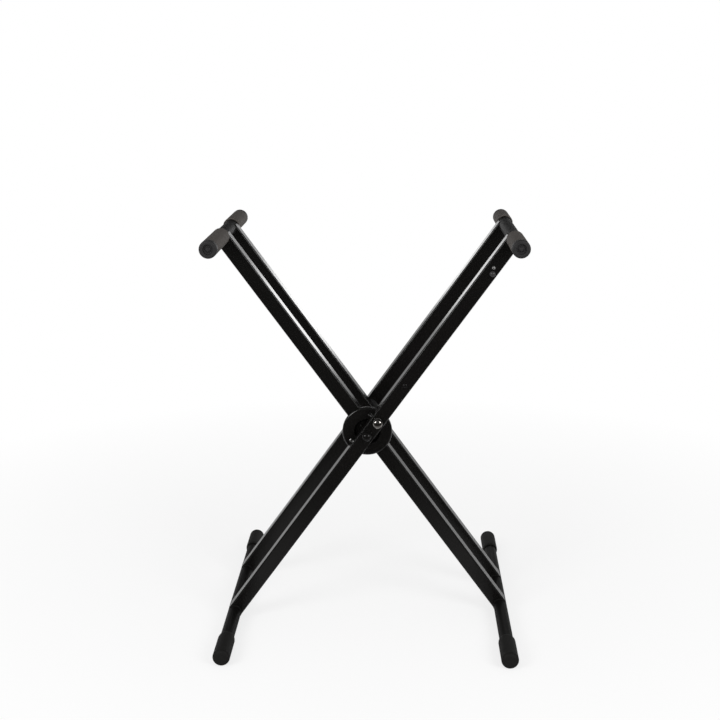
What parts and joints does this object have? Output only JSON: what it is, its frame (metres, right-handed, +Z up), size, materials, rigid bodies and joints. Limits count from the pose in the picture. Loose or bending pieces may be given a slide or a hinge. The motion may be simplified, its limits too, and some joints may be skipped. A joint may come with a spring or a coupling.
{
  "type": "folding keyboard stand",
  "caption": "Folding X stand: paired square tubes crossed on a pivot bolt, round base bars with rubber boots, padded support bars and a sprung index lock.",
  "frame": {"origin": "on the floor, under the middle of the stand's bounding box", "axes": "+X to the right of someone at the front, +Y away from them, +Z up"},
  "size_m": [0.6166, 0.618, 0.8331],
  "materials": {
    "black_steel": "semi-gloss black powder coat on steel",
    "boot_rubber": "matte black rubber",
    "cap_rubber": "matte dark grey rubber",
    "sleeve_rubber": "soft matte grey-brown sleeve",
    "chrome": "polished chrome plate",
    "zinc_steel": "zinc-plated steel",
    "nylon": "black nylon"
  },
  "bodies": {
    "outer_leg": {"outer_front_tube": "black_steel", "outer_rear_tube": "black_steel", "outer_support_bar": "black_steel", "outer_support_front_sleeve": "sleeve_rubber", "outer_support_rear_sleeve": "sleeve_rubber", "outer_support_front_cap": "cap_rubber", "outer_support_rear_cap": "cap_rubber", "outer_base_bar": "black_steel", "outer_base_front_boot": "boot_rubber", "outer_base_rear_boot": "boot_rubber", "tube_screw": "black_steel", "anchor_rivet": "zinc_steel", "anchor_button": "cap_rubber", "pivot_bolt": "black_steel", "pivot_front_washer": "black_steel", "pivot_rear_washer": "black_steel", "pivot_nut": "zinc_steel", "front_thrust_spacer": "nylon", "rear_thrust_spacer": "nylon", "lock_bush": "zinc_steel", "lock_spring": "zinc_steel"},
    "inner_leg": {"inner_front_tube": "black_steel", "inner_rear_tube": "black_steel", "inner_support_bar": "black_steel", "inner_support_front_sleeve": "sleeve_rubber", "inner_support_rear_sleeve": "sleeve_rubber", "inner_support_front_cap": "cap_rubber", "inner_support_rear_cap": "cap_rubber", "inner_base_bar": "black_steel", "inner_base_front_boot": "boot_rubber", "inner_base_rear_boot": "boot_rubber", "front_pivot_bush": "nylon", "rear_pivot_bush": "nylon", "pivot_spacer_tube": "black_steel", "index_disc": "black_steel", "well_rivet_1": "black_steel", "well_rivet_2": "black_steel", "rim_rivet": "chrome"},
    "lock_plunger": {"lock_head": "chrome", "lock_pin": "zinc_steel", "lock_clip": "zinc_steel"}
  },
  "joints": [
    {"name": "leg_fold", "type": "hinge", "parent": "outer_leg", "child": "inner_leg", "pos_m": [0, 0.011, 0.41158], "axis": [0, 1, 0], "range_deg": [-48, 67]},
    {"name": "lock_pull", "type": "slide", "parent": "outer_leg", "child": "lock_plunger", "axis": [0, -1, 0], "range_m": [0, 0.008], "stiffness_N_per_m": 600, "springref_m": -0.006, "deforming": ["lock_spring"]}
  ]
}
